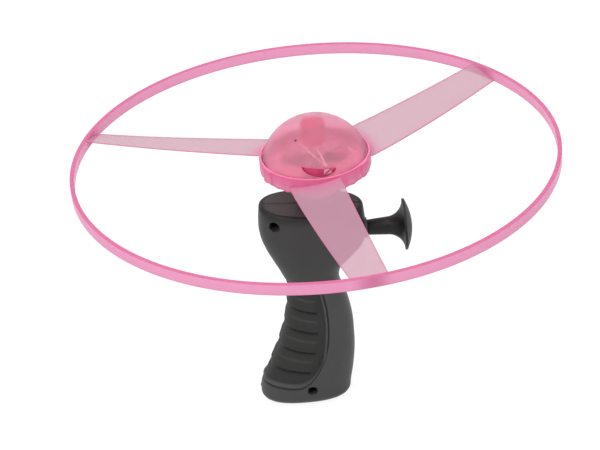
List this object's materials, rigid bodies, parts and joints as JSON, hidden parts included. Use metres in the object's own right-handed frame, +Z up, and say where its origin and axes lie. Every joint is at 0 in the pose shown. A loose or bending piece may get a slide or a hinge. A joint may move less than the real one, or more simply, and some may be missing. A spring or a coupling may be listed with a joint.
{
  "type": "flying propeller toy",
  "caption": "Pull-cord flying propeller toy: a ringed translucent rotor with a light dome, standing on a dark pistol-grip launcher with a trumpet pull knob.",
  "frame": {"origin": "on the floor under the rotor's axis", "axes": "+Z up along the rotor's axis, +X towards the pull knob, the launcher's seam on the plane y = 0"},
  "size_m": [0.25, 0.25, 0.1661],
  "materials": {
    "pink_clear": "glossy translucent",
    "pink_frosted": "frosted translucent",
    "grey_moulded": "satin",
    "white_moulded": "satin",
    "steel": "bright",
    "board": "satin",
    "led_lens": "glossy",
    "cord": "matt"
  },
  "bodies": {
    "launcher": {"grip_shell_near": "grey_moulded", "grip_shell_far": "grey_moulded", "head_screw": "steel", "back_screw": "steel", "foot_screw": "steel", "cord_eyelet": "grey_moulded", "axle_pin": "steel", "spring_case": "white_moulded", "return_spring": "steel", "spindle_bush": "white_moulded"},
    "drive": {"cord_spool": "white_moulded", "cord_winding": "cord", "drive_column": "grey_moulded"},
    "rotor": {"propeller": "pink_clear", "dome": "pink_frosted", "hub_socket": "pink_clear", "light_board": "board", "contact_star": "steel", "led": "led_lens", "led_lead_to_cells": "steel", "led_lead_to_board": "steel", "button_cell_1": "steel", "button_cell_2": "steel", "button_cell_3": "steel"},
    "knob": {"pull_knob": "grey_moulded", "knob_cap": "grey_moulded", "cord_knot": "cord", "cord_lead": "cord"}
  },
  "joints": [
    {"name": "drive_spin", "type": "hinge", "parent": "launcher", "child": "drive", "pos_m": [0, 0, 0.0997], "axis": [0, 0, 1], "range_deg": [0, 1230], "stiffness_Nm_per_rad": 0.0015},
    {"name": "rotor_lift", "type": "slide", "parent": "drive", "child": "rotor", "axis": [0, 0, 1], "range_m": [0, 0.06]},
    {"name": "knob_pull", "type": "slide", "parent": "launcher", "child": "knob", "axis": [1, 0, 0], "range_m": [0, 0.2], "deforming": ["cord_lead"]}
  ],
  "couplings": [
    {"joint": "knob_pull", "follows": "drive_spin", "m_per_rad": 0.0093}
  ]
}
